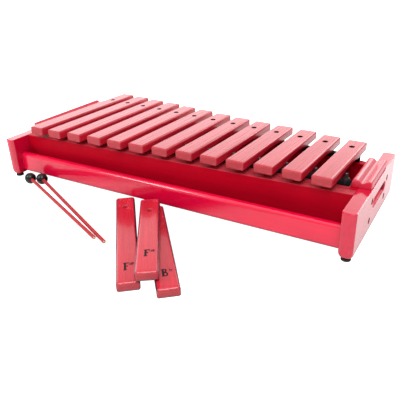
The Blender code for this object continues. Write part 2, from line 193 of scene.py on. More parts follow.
def bar_wood(name, seed, tint=1.08, coat=0.32):
    """Red-stained wood with fine grain and short pores along the bar's own length, under satin lacquer."""
    made, nodes, links, shader = nodes_of(name)
    shift = (3.7 * seed, 1.9 * seed, 2.3 * seed)
    grain = noise(nodes, links, (420, 7, 420), 6.0, 0.62, 0.3, shift)
    pores = noise(nodes, links, (1500, 42, 1500), 2.0, 0.5, 0.0, shift)
    bands = noise(nodes, links, (70, 2.2, 70), 3.0, 0.5, 0.8, shift)
    body = ramp(nodes, links, grain, ((0.30, (0.44 * tint, 0.006, 0.020)), (0.50, (0.52 * tint, 0.010, 0.030)), (0.70, (0.60 * tint, 0.018, 0.040))))
    body = multiply(nodes, links, body, ramp(nodes, links, bands, ((0.30, (0.88, 0.86, 0.86)), (0.70, (1.0, 1.0, 1.0)))))
    body = multiply(nodes, links, body, ramp(nodes, links, pores, ((0.30, (0.62, 0.54, 0.54)), (0.42, (1.0, 1.0, 1.0)))), 0.65)
    links.new(body, shader.inputs["Base Color"])
    bump(nodes, links, shader, pores, 0.16, 0.0003)
    links.new(spread(nodes, links, grain, 0.34, 0.24), shader.inputs["Roughness"])
    shader.inputs["Specular IOR Level"].default_value = 0.42
    shader.inputs["Coat Weight"].default_value = coat
    shader.inputs["Coat Roughness"].default_value = 0.10
    return made


def end_grain():
    made, nodes, links, shader = nodes_of("bar_end_grain")
    rings = noise(nodes, links, (60, 60, 420), 4.0, 0.6)
    dots = noise(nodes, links, (1300, 1300, 1300), 3.0, 0.6)
    body = ramp(nodes, links, rings, ((0.30, (0.40, 0.028, 0.040)), (0.70, (0.54, 0.052, 0.066))))
    body = multiply(nodes, links, body, ramp(nodes, links, dots, ((0.35, (0.60, 0.55, 0.55)), (0.60, (1.0, 1.0, 1.0)))))
    links.new(body, shader.inputs["Base Color"])
    bump(nodes, links, shader, dots, 0.3, 0.0003)
    shader.inputs["Roughness"].default_value = 0.5
    shader.inputs["Specular IOR Level"].default_value = 0.35
    return made


def speckled(name, low, high, rough, metal=0.0, scale=900, depth=0.0002, coat=0.0, specular=0.5, strength=0.2):
    made, nodes, links, shader = nodes_of(name)
    spots = noise(nodes, links, (scale, scale, scale), 3.0)
    links.new(ramp(nodes, links, spots, ((0.35, low), (0.65, high))), shader.inputs["Base Color"])
    bump(nodes, links, shader, spots, strength, depth)
    shader.inputs["Roughness"].default_value = rough
    shader.inputs["Metallic"].default_value = metal
    shader.inputs["Coat Weight"].default_value = coat
    shader.inputs["Specular IOR Level"].default_value = specular
    return made


LACQUER = lacquer("red_lacquer")
# Painted shade: a darker copy of the red lacquer for the box walls and floor, which sit in the bars' shade.
SHADED_BOX_LACQUER = lacquer("red_lacquer_box_painted_shade", 0.03, 0.0, (0.30, 0.42), 0.64, 0.030)
BOARD_LACQUER = lacquer("red_lacquer_board", tint=0.78)
CAP_LACQUER = lacquer("red_lacquer_cap", 0.9, 0.25, (0.34, 0.42), 0.80, coat_rough=0.30)
# Painted sheen: a paler, pinker copy of the box lacquer for the bar ledge and the front wall's top.
LEDGE_PAINTED_SHEEN = speckled("red_lacquer_painted_sheen", (0.37, 0.020, 0.034), (0.47, 0.034, 0.052), 0.55, scale=160, specular=0.28, strength=0.1)
RUBBER = speckled("black_rubber", (0.006, 0.006, 0.007), (0.014, 0.014, 0.015), 0.5, specular=0.25)
STRIP = speckled("black_strip", (0.004, 0.004, 0.005), (0.010, 0.010, 0.011), 0.75, scale=1600, depth=0.0004, specular=0.12, strength=0.5)
STEEL = speckled("plated_steel", (0.50, 0.50, 0.51), (0.70, 0.70, 0.71), 0.3, metal=1.0)
HEAD = speckled("black_ball", (0.003, 0.003, 0.004), (0.007, 0.007, 0.008), 0.12, specular=0.25, coat=0.2, scale=300, strength=0.06)
STICK = speckled("red_stick", (0.34, 0.012, 0.016), (0.48, 0.024, 0.028), 0.28, scale=400, coat=0.3)
BARE = speckled("bare_stick_end", (0.60, 0.36, 0.22), (0.74, 0.50, 0.34), 0.6, scale=1400)
END_GRAIN = end_grain()
# Near-black, non-metallic finish for the pins deep in the bar holes.
DARK_PIN_LOOK = speckled("dark_pin_finish", (0.004, 0.004, 0.004), (0.010, 0.010, 0.010), 0.45, specular=0.3)
# Painted light: the loose bars' hole walls, a brighter red than the bar wood, lifting the shade inside the holes.
PAINTED_LIGHT_RED_HOLE = speckled("red_hole_wall_painted_light", (0.55, 0.020, 0.040), (0.80, 0.050, 0.080), 0.45, scale=1200, specular=0.4)
# Painted shade: a near-black copy of the red lacquer for the rails' bottom edges.
RAIL_FOOT_PAINTED_SHADE = lacquer("red_lacquer_painted_under_shade", 0.15, 0.0, (0.35, 0.45), 0.22, 0.045)
# Painted light and shade in the hand slot: a lighter, pinker red for its walls and a near-black red for its back end.
SLOT_WALL_PAINTED_LIGHT = speckled("slot_wall_painted_light", (0.80, 0.10, 0.15), (0.95, 0.15, 0.21), 0.45, scale=900, specular=0.3)
SLOT_END_PAINTED_SHADE = speckled("slot_end_wall_painted_shade", (0.24, 0.008, 0.026), (0.36, 0.014, 0.040), 0.45, scale=900, specular=0.2)
SCREW_LOOK = speckled("lacquered_screw", (0.090, 0.005, 0.014), (0.150, 0.010, 0.024), 0.5, scale=900, specular=0.2)
# Painted shade: near-black walls inside the screw recesses.
PAINTED_SHADE_BORE = speckled("bore_wall_painted_shade", (0.05, 0.001, 0.003), (0.10, 0.002, 0.006), 0.7, scale=900, specular=0.1)
# Painted shade: near-black walls for the mounted bars' pin holes.
PAINTED_SHADE_HOLE = speckled("hole_wall_painted_shade", (0.010, 0.001, 0.001), (0.030, 0.002, 0.003), 0.9, scale=1200, specular=0.05)
INK = speckled("note_ink", (0.008, 0.006, 0.007), (0.024, 0.012, 0.014), 0.6, scale=1500, specular=0.15)


def dress(node, made):
    mesh = NODES[node].data
    if not mesh.materials:
        mesh.materials.append(made)
    for index in range(len(mesh.materials)):
        mesh.materials[index] = made


SLOT_LOOK = {
    "red_lacquered_wood": LACQUER,
    "bar_wood": END_GRAIN,
    "black_strip": STRIP,
    "black_rubber": RUBBER,
    "steel": STEEL,
    "mallet_stick": STICK,
    "mallet_head": HEAD,
}
for item in frame["record"]["subparts"]:
    dress(item["node"], SLOT_LOOK[item["material_slot"]])
dress("bar_ledge", LEDGE_PAINTED_SHEEN)
for node in ("box_front_wall", "box_back_wall", "box_end_bass", "box_end_treble", "box_floor"):
    dress(node, SHADED_BOX_LACQUER)


# ---------------------------------------------------------------- mesh tools
def new_object(name, mesh, matrix=None, looks=()):
    for look in looks:
        mesh.materials.append(look)
    made = bpy.data.objects.new(name, mesh)
    SCENE.collection.objects.link(made)
    if matrix is not None:
        made.matrix_world = matrix
    return made


def mesh_from(bm, name):
    bmesh.ops.recalc_face_normals(bm, faces=bm.faces)
    mesh = bpy.data.meshes.new(name)
    bm.to_mesh(mesh)
    bm.free()
    return mesh


def loft(name, rings, end_index=0):
    """A closed body through rings of points given in millimetres; its two end faces take the material end_index."""
    bm = bmesh.new()
    made = [[bm.verts.new(Vector(p) * 0.001) for p in ring] for ring in rings]
    count = len(rings[0])
    for a, b in zip(made, made[1:]):
        for i in range(count):
            j = (i + 1) % count
            bm.faces.new((a[i], a[j], b[j], b[i]))
    for ring in (made[0], made[-1]):
        face = bm.faces.new(ring)
        face.material_index = end_index
    return mesh_from(bm, name)


def lathe(name, profile, segments=32):
    """A turned body about local Z; profile is (radius, height) in millimetres from one pole to the other."""
    bm = bmesh.new()
    rings = []
    for r, z in profile:
        if r < 1e-6:
            rings.append([bm.verts.new((0, 0, z * 0.001))])
        else:
            rings.append(
                [
                    bm.verts.new((r * 0.001 * math.cos(2 * math.pi * k / segments), r * 0.001 * math.sin(2 * math.pi * k / segments), z * 0.001))
                    for k in range(segments)
                ]
            )
    for a, b in zip(rings, rings[1:]):
        for k in range(segments):
            n = (k + 1) % segments
            if len(a) == 1:
                bm.faces.new((a[0], b[n], b[k]))
            elif len(b) == 1:
                bm.faces.new((a[k], a[n], b[0]))
            else:
                bm.faces.new((a[k], a[n], b[n], b[k]))
    return mesh_from(bm, name)


def arc(cx, cy, r, start, end, steps):
    return [(cx + r * math.cos(math.radians(start + (end - start) * k / steps)), cy + r * math.sin(math.radians(start + (end - start) * k / steps))) for k in range(steps + 1)]


def rounded(x0, x1, y0, y1, radii, steps=6):
    """A rectangle with a radius for each corner: low-right, high-right, high-left, low-left."""
    a, b, c, d = (max(r, 0.05) for r in radii)
    points = arc(x1 - a, y0 + a, a, -90, 0, steps)
    points += arc(x1 - b, y1 - b, b, 0, 90, steps)
    points += arc(x0 + c, y1 - c, c, 90, 180, steps)
    points += arc(x0 + d, y0 + d, d, 180, 270, steps)
    return points


def carve(target, cutters):
    for cutter in cutters:
        boolean = target.modifiers.new("cut", "BOOLEAN")
        boolean.operation = "DIFFERENCE"
        boolean.solver = "EXACT"
        boolean.material_mode = "INDEX"
        boolean.object = cutter
    bpy.context.view_layer.update()
    graph = bpy.context.evaluated_depsgraph_get()
    result = bpy.data.meshes.new_from_object(target.evaluated_get(graph))
    target.modifiers.clear()
    target.data = result
    for cutter in cutters:
        bpy.data.objects.remove(cutter, do_unlink=True)


def smooth(target, angle=32.0):
    target.data.shade_smooth()
    target.data.set_sharp_from_angle(angle=math.radians(angle))
    weighted = target.modifiers.new("normals", "WEIGHTED_NORMAL")
    weighted.keep_sharp = True
    weighted.weight = 80


def settle(piece, body, slot, *nodes):
    """The piece stands for these CAD nodes, which it hides, and moves with the body; slot is not used."""
    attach(piece, body)
    if nodes:
        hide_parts(*nodes)


# ---------------------------------------------------------------- bars
TOP_R, LOW_R, NEAR_R, FAR_R = 3.0, 2.8, 2.2, 4.6


def bar_piece(name, length, arch_deep, hole_at, matrix, seed, body, node, tint=0.92, hole_look=PAINTED_SHADE_HOLE, near_r=NEAR_R, side_r=TOP_R, coat=0.32, rim=0.75, painted_side_light=1.12, side_from=0.9):
    half = BAR_WIDTH / 2
    eased = [(1 - math.cos(math.radians(15 * k)), 1 - math.sin(math.radians(15 * k))) for k in range(7)]
    arch_from, arch_to = length * 0.25, length * 0.75
    inner = [near_r + 4.0] + [arch_from + (arch_to - arch_from) * k / 28 for k in range(29)] + [length - FAR_R - 4.0]
    rings = []

    def ring(y, e):
        share = (y - length / 2) / (length / 4)
        lift = arch_deep * math.cos(share * math.pi / 2) ** 0.8 if abs(share) < 1 else 0.0
        section = rounded(-half + e, half - e, -BAR_THICK + e + lift, -e, (LOW_R - e * 0.7, side_r - e * 0.7, side_r - e * 0.7, LOW_R - e * 0.7), 6)
        rings.append([(x, y, z) for x, z in section])

    for y, e in eased:
        ring(y * near_r, e * near_r)
    for y in inner:
        ring(y, 0.0)
    for y, e in reversed(eased):
        ring(length - y * FAR_R, e * FAR_R)
    mesh = loft(name, rings, 1)
    # The side faces take the bar wood scaled by the side factor: lighter sides on the mounted bars are painted light;
    # darker sides and undersides on the loose bars are painted shade.
    painted_side_wood = bar_wood("bar_painted_side_" + str(seed), seed, tint * painted_side_light, coat)
    piece = new_object(name, mesh, matrix, (bar_wood("bar_wood_" + str(seed), seed, tint, coat), END_GRAIN, hole_look, painted_side_wood))
    profile = [(0.0, 1.0), (HOLE_R + rim, 1.0), (HOLE_R + rim, 0.05), (HOLE_R + rim * 0.42, -rim * 0.23), (HOLE_R + rim * 0.08, -rim * 0.7), (HOLE_R, -rim * 1.23), (HOLE_R, -30.0), (0.0, -30.0)]
    drill_mesh = lathe("drill", profile, 36)
    # On the mounted bars the near-black painted shade starts just under the hole's rim.
    for face in drill_mesh.polygons:
        face.material_index = 2 if face.center.z < (-0.0002 if hole_look is PAINTED_SHADE_HOLE else -0.0009) else 0
    drill = new_object("drill", drill_mesh, matrix @ Matrix.Translation((0.0, hole_at * 0.001, 0.0)), (END_GRAIN, END_GRAIN, hole_look))
    carve(piece, [drill])
    # Faces turned down (when side_from is below 0.9) and faces turned to the side take the painted side tone; end faces
    # take end grain.
    for face in piece.data.polygons:
        if side_from < 0.9 and face.normal.z < -0.08 and face.material_index == 0:
            face.material_index = 3
        elif abs(face.normal.y) > 0.75 and face.material_index == 0:
            face.material_index = 1
        elif abs(face.normal.x) > side_from and face.material_index == 0:
            face.material_index = 3
    smooth(piece)
    settle(piece, body, "bar_wood", node)
    return piece


def row_matrix(index, along):
    x = index * BAR_PITCH + BAR_WIDTH / 2 + math.sin(BAR_TURN) * along
    return Matrix.Translation(mm(x, math.cos(BAR_TURN) * along, BAR_TOP)) @ Matrix.Rotation(-BAR_TURN, 4, "Z")


for index, (note, length, near) in enumerate(BARS):
    bar_piece(
        "finished_bar_" + note,
        length,
        5.0 * (length / 261.0) ** 0.5,
        HOLE_Y0 + HOLE_STEP * index - near,
        row_matrix(index, near),
        index + 1,
        "bar_lift_body_" + note,
        "bar_" + note,
    )


def spare_matrix(corner_x, corner_y, heading, top):
    turn = math.radians(heading)
    middle = Vector((corner_x, corner_y, 0)) + Vector((math.cos(turn), math.sin(turn), 0)) * (BAR_WIDTH / 2)
    return Matrix.Translation(mm(middle.x, middle.y, top)) @ Matrix.Rotation(turn, 4, "Z")


def flat_shape(name, outlines, matrix, look):
    """Thin print: each outline is a closed list of (x, y) in millimetres on the bar's top."""
    bm = bmesh.new()
    for outline in outlines:
        low = [bm.verts.new((x * 0.001, y * 0.001, 0.00001)) for x, y in outline]
        high = [bm.verts.new((x * 0.001, y * 0.001, 0.00007)) for x, y in outline]
        bm.faces.new(high)
        bm.faces.new(list(reversed(low)))
        for i in range(len(outline)):
            j = (i + 1) % len(outline)
            bm.faces.new((low[i], low[j], high[j], high[i]))
    piece = new_object(name, mesh_from(bm, name), matrix, (look,))
    return piece


def bars_of(points, wide):
    """A stroke along a polyline, as one closed outline."""
    left, right = [], []
    for i, (x, y) in enumerate(points):
        a = points[max(i - 1, 0)]
        b = points[min(i + 1, len(points) - 1)]
        dx, dy = b[0] - a[0], b[1] - a[1]
        size = math.hypot(dx, dy)
        w = wide[i] if isinstance(wide, (list, tuple)) else wide
        nx, ny = -dy / size * w / 2, dx / size * w / 2
        left.append((x + nx, y + ny))
        right.append((x - nx, y - ny))
    return right + list(reversed(left))


def letter_f(x, y, wide, high):
    """A serif F: stem, top arm, middle arm, serifs."""
    t, s = 2.0 * high / 16, wide
    stem_x = x + s * 0.30
    return [
        [(stem_x - s * 0.17, y), (stem_x + s * 0.17, y), (stem_x + s * 0.17, y + high), (stem_x - s * 0.17, y + high)],
        [(stem_x + s * 0.17, y + high - t), (x + s * 0.92, y + high - t), (x + s * 0.92, y + high - t * 3.0), (x + s, y + high - t * 3.0), (x + s, y + high), (stem_x + s * 0.17, y + high)],
        [(stem_x + s * 0.17, y + high * 0.47), (x + s * 0.66, y + high * 0.47), (x + s * 0.66, y + high * 0.40), (x + s * 0.74, y + high * 0.40), (x + s * 0.74, y + high * 0.62), (x + s * 0.66, y + high * 0.62), (x + s * 0.66, y + high * 0.47 + t), (stem_x + s * 0.17, y + high * 0.47 + t)],
        [(x, y), (stem_x - s * 0.17, y), (stem_x - s * 0.17, y + t * 0.8), (x, y + t * 0.8)],
        [(stem_x + s * 0.17, y), (x + s * 0.62, y), (x + s * 0.62, y + t * 0.8), (stem_x + s * 0.17, y + t * 0.8)],
        [(x, y + high - t * 0.8), (stem_x - s * 0.17, y + high - t * 0.8), (stem_x - s * 0.17, y + high), (x, y + high)],
    ]


def letter_b(x, y, wide, high):
    """A serif B: stem, three arms and two bowls."""
    t, s = 1.8 * high / 16, wide
    stem_x = x + s * 0.24
    right = stem_x + s * 0.15

    def bowl(y0, y1, reach):
        mid, r = (y0 + y1) / 2, (y1 - y0) / 2
        outer = [(right + reach + r * 0.62 * math.cos(a), mid + r * math.sin(a)) for a in [math.radians(-90 + 180 * k / 10) for k in range(11)]]
        inner = [(right + reach + (r * 0.62 - s * 0.24) * math.cos(a), mid + (r - t) * math.sin(a)) for a in [math.radians(90 - 180 * k / 10) for k in range(11)]]
        return [(right, y0)] + outer + [(right, y1), (right, y1 - t)] + inner + [(right, y0 + t)]

    return [
        [(stem_x - s * 0.15, y), (right, y), (right, y + high), (stem_x - s * 0.15, y + high)],
        bowl(y, y + high * 0.54, s * 0.22),
        bowl(y + high * 0.54, y + high, s * 0.16),
        [(x, y), (stem_x - s * 0.15, y), (stem_x - s * 0.15, y + t * 0.8), (x, y + t * 0.8)],
        [(x, y + high - t * 0.8), (stem_x - s * 0.15, y + high - t * 0.8), (stem_x - s * 0.15, y + high), (x, y + high)],
    ]


def sign_sharp(x, y, wide, high):
    w = wide
    return [
        bars_of([(x + w * 0.32, y), (x + w * 0.32, y + high * 0.94)], 0.8),
        bars_of([(x + w * 0.68, y + high * 0.06), (x + w * 0.68, y + high)], 0.8),
        [(x, y + high * 0.26), (x + w * 0.32 - 0.4, y + high * 0.30), (x + w * 0.32 - 0.4, y + high * 0.44), (x, y + high * 0.40)],
        [(x + w * 0.32 + 0.4, y + high * 0.315), (x + w * 0.68 - 0.4, y + high * 0.335), (x + w * 0.68 - 0.4, y + high * 0.475), (x + w * 0.32 + 0.4, y + high * 0.455)],
        [(x + w * 0.68 + 0.4, y + high * 0.34), (x + w, y + high * 0.38), (x + w, y + high * 0.52), (x + w * 0.68 + 0.4, y + high * 0.48)],
        [(x, y + high * 0.54), (x + w * 0.32 - 0.4, y + high * 0.58), (x + w * 0.32 - 0.4, y + high * 0.72), (x, y + high * 0.68)],
        [(x + w * 0.32 + 0.4, y + high * 0.595), (x + w * 0.68 - 0.4, y + high * 0.615), (x + w * 0.68 - 0.4, y + high * 0.755), (x + w * 0.32 + 0.4, y + high * 0.735)],
        [(x + w * 0.68 + 0.4, y + high * 0.62), (x + w, y + high * 0.66), (x + w, y + high * 0.80), (x + w * 0.68 + 0.4, y + high * 0.76)],
    ]


def sign_flat(x, y, wide, high):
    w = wide
    stem = bars_of([(x + 0.45, y), (x + 0.45, y + high)], 0.8)
    loop = [(x + 0.9, y + high * 0.46), (x + w * 0.62, y + high * 0.56), (x + w * 0.95, y + high * 0.44), (x + w * 0.80, y + high * 0.22), (x + 0.9, y + 0.1)]
    return [stem, bars_of(loop, [0.7, 1.0, 1.3, 1.1, 0.5])]


LABELS = {
    "f_sharp5": letter_f(-5.2, 27.5, 8.0, 17.0) + sign_sharp(3.4, 37.0, 5.6, 7.6),
    "b_flat5": letter_b(-5.4, 26.5, 9.0, 16.0) + sign_flat(5.0, 35.6, 3.6, 7.4),
    "f_sharp6": letter_f(-4.6, 35.5, 8.0, 15.5) + sign_sharp(4.2, 44.0, 5.6, 7.0),
}
for count, (note, (x, y, heading, length, top)) in enumerate(SPARES.items()):
    # The loose bars' wood tint, 1.06 against 0.92 for the mounted bars, is painted light.
    matrix = spare_matrix(x, y, heading, top)
    # The side factor 0.24 darkens the loose bars' sides and undersides: painted shade.
    piece = bar_piece("finished_spare_" + note, length, 4.5, length * (0.805 if note == "f_sharp6" else 0.855), matrix, 20 + count, "spare_" + note, "spare_bar_" + note, 1.06, PAINTED_LIGHT_RED_HOLE, 3.4, 4.0, 0.7, 1.3, 0.24, 0.5)
    print_piece = flat_shape("note_letters_" + note, LABELS[note], matrix, INK)
    settle(print_piece, "spare_" + note, "bar_wood")


# ---------------------------------------------------------------- end boards
def board_slices(x0, x1, back):
    """Rounded-rectangle slices across the thickness: strongly rounded below, crowned at the two ends, nearly flat on top."""
    rings = []
    steps = 20
    middle, half = (x0 + x1) / 2, (x1 - x0) / 2
    for k in range(steps + 1):
        angle = math.radians(-90 + 180 * k / steps)
        u = math.sin(angle)
        ends = 17.0 - math.sqrt(17.0**2 - (9.7 * u) ** 2) + 0.6 * (1 - max(1 - abs(u) ** 9, 0.0) ** (1 / 7))
        low = 6.6 * (1 - max(1 - abs(u) ** 3.2, 0.0) ** (1 / 2.2))
        top = 0.8 * (1 - max(1 - abs(u) ** 9, 0.0) ** (1 / 7))
        outline = rounded(BOARD_FRONT + ends, back - ends, BOARD_LOW + low, BOARD_TOP - top, (7.0, 1.4, 1.4, 7.0), 8)
        rings.append([(middle + half * u, y, z) for y, z in outline])
    return rings


def stadium(y, z, long, high, steps=14):
    r = high / 2
    flat = long / 2 - r
    points = arc(y + flat, z, r, -90, 90, steps)
    points += arc(y - flat, z, r, 90, 270, steps)
    return points


def flared(face0, face1, radius):
    """x stations and how much wider the opening is there: rounded over at both faces."""
    stations = [(face0 - 6.0, radius)]
    for k in range(7):
        a = math.radians(90 * k / 6)
        stations.append((face0 + radius * (1 - math.cos(a)), radius * (1 - math.sin(a))))
    for k in range(6, -1, -1):
        a = math.radians(90 * k / 6)
        stations.append((face1 - radius * (1 - math.cos(a)), radius * (1 - math.sin(a))))
    stations.append((face1 + 6.0, radius))
    return stations


SCREW_ROWS = ((54.0, 45.0, 0.0), (26.5, 44.2, -7.0))


def local_mesh(mesh):
    """Shifts a mesh that was drawn in instrument millimetres (times 0.001) into the frame."""
    mesh.transform(Matrix.Translation((-SHIFT_X * 0.001, -SHIFT_Y * 0.001, 0.0)))
    return mesh


def screw_piece(name, seat, outward, y, z, turn_deg, body):
    """A countersunk-bore wood screw: pan head with a cross recess, plain shank and thread ridges."""
    profile = [(0.0, 2.4), (1.6, 2.36), (2.7, 2.1), (3.35, 1.5), (3.6, 0.6), (3.6, 0.0), (1.7, 0.0), (1.7, -8.0)]
    depth = -8.0
    while depth > -22.0:
        profile += [(1.25, depth - 0.6), (1.7, depth - 1.0)]
        depth -= 1.4
    profile += [(1.0, depth - 1.2), (0.0, -26.0)]
    turn = Matrix.Rotation(math.pi / 2 * outward, 4, "Y") @ Matrix.Rotation(math.radians(turn_deg), 4, "Z")
    matrix = Matrix.Translation(mm(seat + outward * GAP, y, z)) @ turn
    piece = new_object(name, lathe(name, profile, 32), matrix, (SCREW_LOOK,))
    cutters = []
    for flip in (0, 1):
        bm = bmesh.new()
        size = (4.2, 0.9) if flip else (0.9, 4.2)
        top = [(sx * size[0] / 2, sy * size[1] / 2, 3.0) for sx, sy in ((-1, -1), (1, -1), (1, 1), (-1, 1))]
        low = [(sx * size[0] * 0.42, sy * size[1] * 0.42, 1.0) for sx, sy in ((-1, -1), (1, -1), (1, 1), (-1, 1))]
        a = [bm.verts.new(Vector(p) * 0.001) for p in top]
        b = [bm.verts.new(Vector(p) * 0.001) for p in low]
        bm.faces.new(a)
        bm.faces.new(b)
        for i in range(4):
            bm.faces.new((a[i], a[(i + 1) % 4], b[(i + 1) % 4], b[i]))
        cutters.append(new_object("cross", mesh_from(bm, "cross"), matrix, (SCREW_LOOK,)))
    carve(piece, cutters)
    smooth(piece, 40)
    settle(piece, body, "steel", name.replace("finished_", ""))


def board_piece(side, inner, outward):
    x0, x1 = sorted((inner, inner + outward * BOARD))
    back = BOARD_BACK[side]
    name = "finished_end_board_" + side
    mesh = local_mesh(loft(name, board_slices(x0, x1, back)))
    piece = new_object(name, mesh, None, (BOARD_LACQUER, PAINTED_SHADE_BORE, SLOT_WALL_PAINTED_LIGHT, SLOT_END_PAINTED_SHADE))
    middle_y = (BOARD_FRONT + back) / 2 + (15.0 if side == "treble" else 10.0)
    cutters = []
    rings = []
    for x, extra in flared(x0, x1, 2.6):
        rings.append([(x, y, z) for y, z in stadium(middle_y, 46.0, 76.0 - 1.4 + 2 * extra, 15.0 - 1.4 + 2 * extra)])
    cutters.append(new_object("slot", local_mesh(loft("slot", rings)), None, (BOARD_LACQUER, PAINTED_SHADE_BORE, SLOT_WALL_PAINTED_LIGHT, SLOT_END_PAINTED_SHADE)))
    centre = (x0 + x1) / 2 - SHIFT_X
    # Slot walls: the back end takes the painted shade, the other walls the painted light.
    for wall in cutters[0].data.polygons:
        if abs(wall.center.x * 1000 - centre) < BOARD / 2 - 1.2:
            wall.material_index = 3 if wall.center.y * 1000 + SHIFT_Y > middle_y + 31.0 else 2
    face = x0 if outward < 0 else x1
    number = 0
    for height, reach, shift in SCREW_ROWS:
        for sign in (-1, 1):
            number += 1
            y = middle_y + shift + sign * reach
            profile = [(0.0, 6.0), (5.2, 6.0), (5.2, 0.0), (4.75, -0.25), (4.45, -0.7), (4.35, -1.4), (4.35, -5.5), (2.0, -5.5), (2.0, -40.0), (0.0, -40.0)]
            turn = Matrix.Rotation(math.pi / 2 * outward, 4, "Y")
            cutters.append(new_object("sink", lathe("sink", profile, 32), Matrix.Translation(mm(face, y, height)) @ turn, (BOARD_LACQUER, PAINTED_SHADE_BORE)))
            # The recess walls below the rim take the near-black painted shade.
            for wall in cutters[-1].data.polygons:
                wall.material_index = 1 if wall.center.z < -0.0002 else 0
            screw_piece(f"finished_screw_{side}_{number}", face - outward * 5.5, outward, y, height, 20 + 37 * number, "frame")
    carve(piece, cutters)
    smooth(piece, 38)
    settle(piece, "frame", "red_lacquered_wood", "end_board_" + side)
    middle_x = (x0 + x1) / 2
    for label, y in (("front", BOARD_FRONT + 10.0), ("back", back - 10.0)):
        foot = f"foot_{label}_{side}"
        profile = [(0.0, 4.2), (5.9, 4.2), (6.4, 3.9), (6.6, 3.3), (6.8, 1.2), (6.65, 0.4), (6.1, 0.0), (2.6, 0.0), (2.4, 0.2), (2.2, 1.4), (0.0, 1.5)]
        rubber = new_object("finished_" + foot, lathe(foot, profile, 40), Matrix.Translation(mm(middle_x, y, 0.0)), (RUBBER,))
        smooth(rubber, 40)
        settle(rubber, "frame", "black_rubber", foot)


board_piece("bass", IN_BASS, -1)
board_piece("treble", IN_TREBLE, 1)


# ---------------------------------------------------------------- rails and the box's front wall
X0, X1 = IN_BASS + GAP, IN_TREBLE - GAP


def long_piece(name, y0, y1, z0, z1, radii, slope, look, body, slot, *nodes, ends=(X0, X1), ease=0.3):
    """A long board with rounded edges whose two faces lean in plan by a slope."""
    rings = []
    start, stop = ends
    count = 16
    xs = [start, start + ease] + [start + (stop - start) * k / count for k in range(1, count)] + [stop - ease, stop]
    for number, x in enumerate(xs):
        e = 0.25 if number in (0, len(xs) - 1) else 0.0
        shift = slope * (x - X0)
        section = rounded(y0 + e, y1 - e, z0 + e, z1 - e, radii, 6)
        rings.append([(x, y + shift, z) for y, z in section])
    piece = new_object(name, local_mesh(loft(name, rings)), None, (look,))
    smooth(piece)
    settle(piece, body, slot, *nodes)
    return piece


front_rail = long_piece("finished_front_rail", -129.3, -117.3, 10.9, 44.5, (2.0, 2.2, 5.5, 1.9), 0.0, LACQUER, "frame", "red_lacquered_wood", "front_rail")
BACK_SLOPE = (BOARD_BACK["treble"] - BOARD_BACK["bass"]) / (X1 - X0)
back_rail = long_piece("finished_back_rail", 141.0 - 26.0, 141.0 - 14.0, 10.9, 44.5, (2.2, 2.6, 2.0, 1.8), BACK_SLOPE, LACQUER, "frame", "red_lacquered_wood", "back_rail")
# The rails' bottom faces and lower rounding take the near-black lacquer: a painted shade line along the lower edge.
for rail in (front_rail, back_rail):
    rail.data.materials.append(RAIL_FOOT_PAINTED_SHADE)
    for face in rail.data.polygons:
        if face.center.z < 0.0128:
            face.material_index = 1
FRONT_SLOPE = 0.0304
FRONT_AT = -105.1 + FRONT_SLOPE * X0
front_wall = long_piece("finished_front_wall", FRONT_AT, FRONT_AT + 15.0, 16.0, 73.0, (1.0, 1.2, 1.6, 1.2), FRONT_SLOPE, SHADED_BOX_LACQUER, "frame", "red_lacquered_wood", "box_front_wall")
# The wall's top faces take the paler lacquer: painted sheen.
front_wall.data.materials.append(LEDGE_PAINTED_SHEEN)
for face in front_wall.data.polygons:
    if face.center.z > 0.0722:
        face.material_index = 1


# ---------------------------------------------------------------- strip and posts
STRIP_TOP = BAR_TOP - BAR_THICK - GAP
fx0, fx1 = X0 + 10.6 + GAP + 1, X1 - 10.6 - GAP - 1
strip_piece = long_piece("finished_front_strip", -65.5, -56.5, 73.3, STRIP_TOP, (0.5, 1.4, 1.4, 0.5), 0.0, STRIP, "frame", "black_strip", "front_strip", ends=(fx0, fx1))
for index in range(-1, len(BARS)):
    along = -61.0
    x = index * BAR_PITCH + BAR_WIDTH / 2 + math.sin(BAR_TURN) * along + math.cos(BAR_TURN) * BAR_PITCH / 2
    profile = [(0.0, 76.5), (4.8, 76.5), (4.8, 82.4), (4.5, 83.1), (3.7, 83.5), (2.9, 83.7), (2.6, 84.4), (2.45, 89.6), (2.2, 90.2), (1.8, 90.5), (1.4, 90.3), (1.3, 89.6), (0.8, 89.5), (0.8, 89.9), (0.5, 90.1), (0.0, 90.15)]
    post = new_object(f"post_sleeve_{index + 1}", lathe("post", profile, 28), Matrix.Translation(mm(x, along, 0.0)), (RUBBER, STEEL))
    for face in post.data.polygons:
        face.material_index = 1 if face.center.z > 0.0895 and math.hypot(face.center.x, face.center.y) < 0.0009 else 0
    smooth(post, 45)
    settle(post, "frame", "black_strip")


for index, (note, length, near) in enumerate(BARS):
    along = HOLE_Y0 + HOLE_STEP * index
    x = index * BAR_PITCH + BAR_WIDTH / 2 + math.sin(BAR_TURN) * along
    foot = 73.0 - 12.0
    profile = [(0.0, foot + 0.3), (1.9, foot + 0.3), (1.9, 85.6), (1.75, 86.3), (1.3, 86.8), (0.7, 86.97), (0.0, 87.0)]
    pin = new_object("finished_pin_" + note, lathe("pin", profile, 24), Matrix.Translation(mm(x, math.cos(BAR_TURN) * along, 0.0)), (DARK_PIN_LOOK,))
    smooth(pin, 40)
    settle(pin, "frame", "steel", "pin_" + note)


